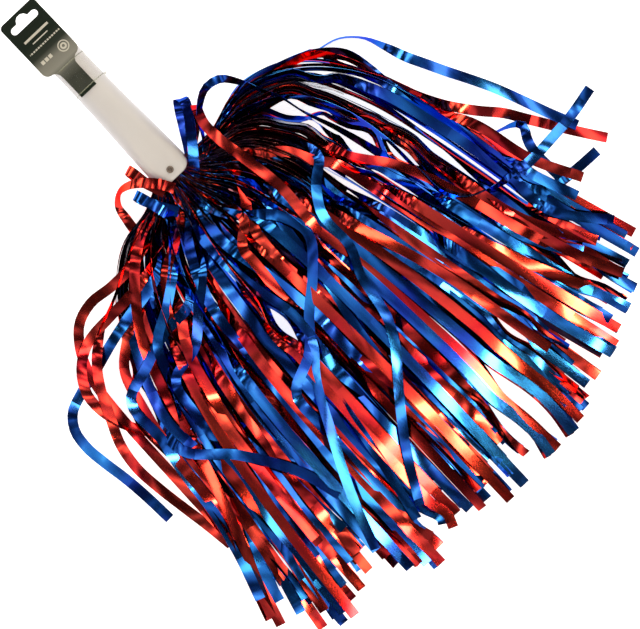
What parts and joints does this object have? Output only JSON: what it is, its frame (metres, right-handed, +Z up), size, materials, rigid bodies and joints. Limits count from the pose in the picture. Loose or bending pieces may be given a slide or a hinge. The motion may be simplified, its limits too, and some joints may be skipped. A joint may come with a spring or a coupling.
{
  "type": "cheer pom pom",
  "caption": "Baton-handled cheer pom pom: a round plastic tube with a fan of blue and red metallised film streamers riveted in its mouth, and a hang tag.",
  "frame": {"origin": "under the middle of the whole object's box, on the surface it lies on", "axes": "+X from the hang tag along the handle towards the streamer tips, +Y across the fan, +Z up from the surface it lies on"},
  "size_m": [0.4186, 0.376, 0.0429],
  "materials": {
    "handle_plastic": "satin extruded white plastic",
    "rivet_metal": "dull rolled eyelet",
    "film_blue": "metallised translucent blue film",
    "film_red": "metallised translucent red film",
    "film_gathered": "gathered blue and red film, dark between its layers",
    "tag_card": "glossy laminated dark card",
    "clear_tape": "clear adhesive tape"
  },
  "bodies": {
    "handle": {"handle_tube": "handle_plastic", "rivet": "rivet_metal", "film_root": "film_gathered", "streamer_neck": "film_gathered", "neck_loop_blue_upper": "film_blue", "neck_loop_red_upper": "film_red", "neck_loop_red_lower": "film_red", "neck_loop_blue_lower": "film_blue", "side_curls_upper": "film_gathered", "side_curls_lower": "film_gathered", "hang_tag_tail": "tag_card", "tape_band": "clear_tape"},
    "hang_tag": {"hang_tag_header": "tag_card"},
    "tuft_1": {"tuft_1_blue_1": "film_blue", "tuft_1_red_2": "film_red", "tuft_1_blue_3": "film_blue", "tuft_1_red_4": "film_red", "tuft_1_blue_5": "film_blue", "stray_blue_lower": "film_blue"},
    "tuft_2": {"tuft_2_red_1": "film_red", "tuft_2_blue_2": "film_blue", "tuft_2_red_3": "film_red", "tuft_2_blue_4": "film_blue", "tuft_2_red_5": "film_red"},
    "tuft_3": {"tuft_3_blue_1": "film_blue", "tuft_3_red_2": "film_red", "tuft_3_blue_3": "film_blue", "tuft_3_red_4": "film_red", "tuft_3_blue_5": "film_blue"},
    "tuft_4": {"tuft_4_red_1": "film_red", "tuft_4_blue_2": "film_blue", "tuft_4_red_3": "film_red", "tuft_4_blue_4": "film_blue", "tuft_4_red_5": "film_red"},
    "tuft_5": {"tuft_5_blue_1": "film_blue", "tuft_5_red_2": "film_red", "tuft_5_blue_3": "film_blue", "tuft_5_red_4": "film_red", "tuft_5_blue_5": "film_blue"},
    "tuft_6": {"tuft_6_red_1": "film_red", "tuft_6_blue_2": "film_blue", "tuft_6_red_3": "film_red", "tuft_6_blue_4": "film_blue", "tuft_6_red_5": "film_red"},
    "tuft_7": {"tuft_7_blue_1": "film_blue", "tuft_7_red_2": "film_red", "tuft_7_blue_3": "film_blue", "tuft_7_red_4": "film_red", "tuft_7_blue_5": "film_blue", "stray_blue_upper": "film_blue", "stray_red_upper": "film_red", "stray_blue_crossing": "film_blue", "stray_blue_short": "film_blue"}
  },
  "joints": [
    {"name": "tag_flex", "type": "hinge", "parent": "handle", "child": "hang_tag", "pos_m": [-0.17477, -0.03137, 0.02314], "axis": [0, 1, 0], "range_deg": [-30, 75], "stiffness_Nm_per_rad": 0.02},
    {"name": "tuft_1_lift", "type": "hinge", "parent": "handle", "child": "tuft_1", "pos_m": [-0.07077, -0.13137, 0.01152], "axis": [-0.1045, -0.9945, 0], "range_deg": [0, 75]},
    {"name": "tuft_2_lift", "type": "hinge", "parent": "handle", "child": "tuft_2", "pos_m": [-0.07077, -0.09537, 0.01152], "axis": [-0.0523, -0.9986, 0], "range_deg": [0, 75]},
    {"name": "tuft_3_lift", "type": "hinge", "parent": "handle", "child": "tuft_3", "pos_m": [-0.07077, -0.05937, 0.01152], "axis": [0, -1, 0], "range_deg": [0, 75]},
    {"name": "tuft_4_lift", "type": "hinge", "parent": "handle", "child": "tuft_4", "pos_m": [-0.07077, -0.02337, 0.01152], "axis": [0.0523, -0.9986, 0], "range_deg": [0, 75]},
    {"name": "tuft_5_lift", "type": "hinge", "parent": "handle", "child": "tuft_5", "pos_m": [-0.07077, 0.01263, 0.01152], "axis": [0.1045, -0.9945, 0], "range_deg": [0, 75]},
    {"name": "tuft_6_lift", "type": "hinge", "parent": "handle", "child": "tuft_6", "pos_m": [-0.07077, 0.04863, 0.01152], "axis": [0.1564, -0.9877, 0], "range_deg": [0, 75]},
    {"name": "tuft_7_lift", "type": "hinge", "parent": "handle", "child": "tuft_7", "pos_m": [-0.07077, 0.08463, 0.01152], "axis": [0.2079, -0.9781, 0], "range_deg": [0, 75]}
  ]
}
